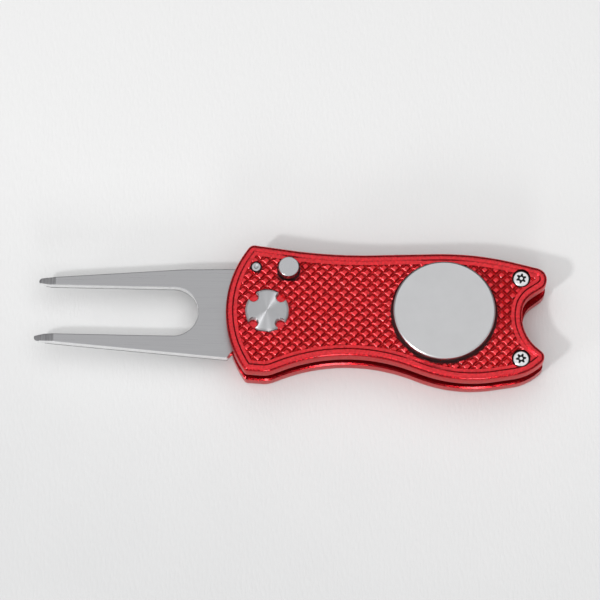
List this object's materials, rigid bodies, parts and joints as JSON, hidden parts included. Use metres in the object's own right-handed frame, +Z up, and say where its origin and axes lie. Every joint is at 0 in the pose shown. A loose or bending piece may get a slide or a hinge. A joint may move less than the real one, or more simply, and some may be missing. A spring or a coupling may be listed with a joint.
{
  "type": "divot repair tool",
  "caption": "Folding golf divot repair tool: a sprung two-tine steel fork swings out of a red scaled handle with a plunge button and a magnetic ball marker.",
  "frame": {"origin": "on the floor, under the middle of the open tool's footprint", "axes": "+X from the fork tips towards the forked tail, +Y towards the back edge that carries the stop pin and button, +Z up through the front scale"},
  "size_m": [0.1206, 0.0322, 0.0138],
  "materials": {
    "red_scale": "candy red metallic lacquer over moulded metal, satin",
    "fork_steel": "stainless steel, brushed faces",
    "turned_steel": "turned stainless steel, fine concentric marks",
    "marker_steel": "satin stainless steel with a bright chamfer",
    "screw_steel": "bright nickel-plated steel",
    "spring_steel": "drawn spring wire, light oil",
    "bronze": "phosphor bronze shim",
    "magnet": "nickel-plated neodymium"
  },
  "bodies": {
    "handle": {"front_scale": "red_scale", "back_scale": "red_scale", "pivot_barrel": "turned_steel", "pivot_screw": "screw_steel", "front_washer": "bronze", "back_washer": "bronze", "fork_spring": "spring_steel", "stop_pin": "turned_steel", "button_spring": "spring_steel", "marker_magnet": "magnet", "upper_standoff": "turned_steel", "lower_standoff": "turned_steel", "front_tail_screws": "screw_steel", "back_tail_screws": "screw_steel"},
    "fork": {"fork": "fork_steel"},
    "button": {"lock_button": "turned_steel"},
    "marker": {"ball_marker": "marker_steel"}
  },
  "joints": [
    {"name": "fork_swing", "type": "hinge", "parent": "handle", "child": "fork", "pos_m": [-0.00533, -0.0001, 0.0056], "axis": [0, 0, 1], "range_deg": [0, 180], "stiffness_Nm_per_rad": 0.02, "springref_deg": -40.11, "deforming": ["fork_spring"]},
    {"name": "button_press", "type": "slide", "parent": "handle", "child": "button", "axis": [0, 0, 1], "range_m": [-0.003, 0], "stiffness_N_per_m": 400, "springref_m": 0.002, "deforming": ["button_spring"]},
    {"name": "marker_lift", "type": "slide", "parent": "handle", "child": "marker", "axis": [0, 0, 1], "range_m": [0, 0.02]}
  ]
}
